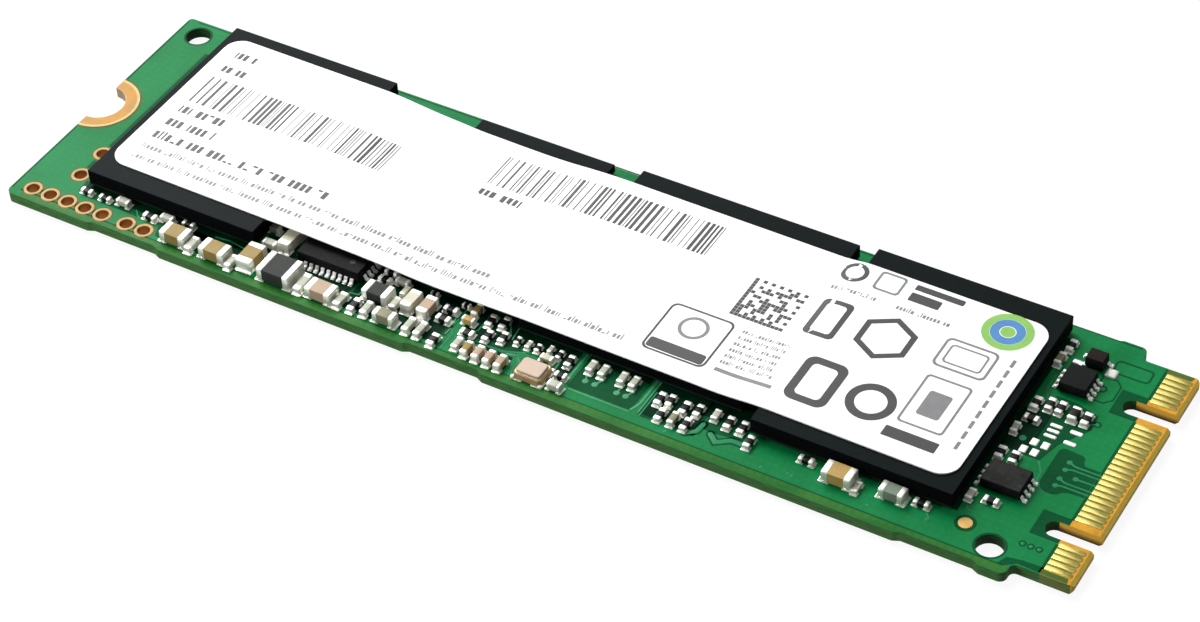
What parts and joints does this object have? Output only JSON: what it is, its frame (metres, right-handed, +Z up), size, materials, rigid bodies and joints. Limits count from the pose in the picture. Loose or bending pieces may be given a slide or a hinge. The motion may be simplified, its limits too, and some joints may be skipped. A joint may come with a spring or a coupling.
{
  "type": "gumstick solid state drive",
  "caption": "Long thin circuit board with flat memory packages under a white label, a two-key edge connector at one end and a half-round screw notch at the other.",
  "frame": {"origin": "under the middle of the board, on its underside", "axes": "+X along the board towards the edge connector, +Y across it towards the side with contact 1, +Z up out of the side that carries the parts"},
  "size_m": [0.08, 0.022, 0.0024],
  "materials": {
    "board": "green solder mask over glass laminate, satin",
    "label_film": "matte white film",
    "mould_black": "moulded epoxy, matte",
    "resistor_film": "black glazed film with tinned ends",
    "ceramic_tan": "sintered ceramic with tinned ends",
    "ceramic_rose": "sintered ceramic with tinned ends",
    "ceramic_grey": "sintered ceramic with tinned ends",
    "ceramic_pale": "sintered ceramic with tinned ends",
    "ferrite": "dark ferrite, matte",
    "lid_metal": "thin plated lid",
    "solder": "tinned solder"
  },
  "bodies": {
    "root": {"bulk_capacitor_1": "ceramic_tan", "bulk_capacitor_2": "ceramic_tan", "bulk_capacitor_3": "ceramic_tan", "bulk_capacitor_4": "ceramic_rose", "bulk_capacitor_5": "ceramic_tan", "bulk_capacitor_6": "ceramic_pale", "bypass_capacitor_1": "ceramic_pale", "bypass_capacitor_10": "ceramic_pale", "bypass_capacitor_11": "ceramic_pale", "bypass_capacitor_12": "ceramic_tan", "bypass_capacitor_13": "ceramic_pale", "bypass_capacitor_14": "ceramic_pale", "bypass_capacitor_15": "ceramic_pale", "bypass_capacitor_16": "ceramic_pale", "bypass_capacitor_17": "ceramic_pale", "bypass_capacitor_18": "ceramic_pale", "bypass_capacitor_2": "ceramic_pale", "bypass_capacitor_3": "ceramic_pale", "bypass_capacitor_4": "ceramic_pale", "bypass_capacitor_5": "ceramic_pale", "bypass_capacitor_6": "ceramic_pale", "bypass_capacitor_7": "ceramic_pale", "bypass_capacitor_8": "ceramic_pale", "bypass_capacitor_9": "ceramic_pale", "cache_package": "mould_black", "chip_resistor_1": "resistor_film", "chip_resistor_2": "resistor_film", "chip_resistor_3": "resistor_film", "chip_resistor_4": "resistor_film", "chip_resistor_5": "resistor_film", "chip_resistor_6": "resistor_film", "chip_resistor_7": "resistor_film", "chip_resistor_8": "resistor_film", "circuit_board": "board", "controller_package": "mould_black", "crystal_base": "ceramic_tan", "crystal_lid": "lid_metal", "eight_pin_chip_far": "mould_black", "eight_pin_chip_near": "mould_black", "filter_capacitor_1": "ceramic_grey", "filter_capacitor_2": "ceramic_grey", "filter_capacitor_3": "ceramic_rose", "filter_capacitor_4": "ceramic_grey", "memory_package_left": "mould_black", "memory_package_right": "mould_black", "power_choke_large": "ferrite", "power_choke_small": "ferrite", "power_management_chip": "mould_black", "power_switch_transistor": "mould_black", "product_label": "label_film", "solder_bridge_land": "solder", "timing_capacitor_1": "ceramic_tan", "timing_capacitor_2": "ceramic_rose", "timing_capacitor_3": "ceramic_rose", "timing_capacitor_4": "ceramic_rose"}
  },
  "joints": []
}
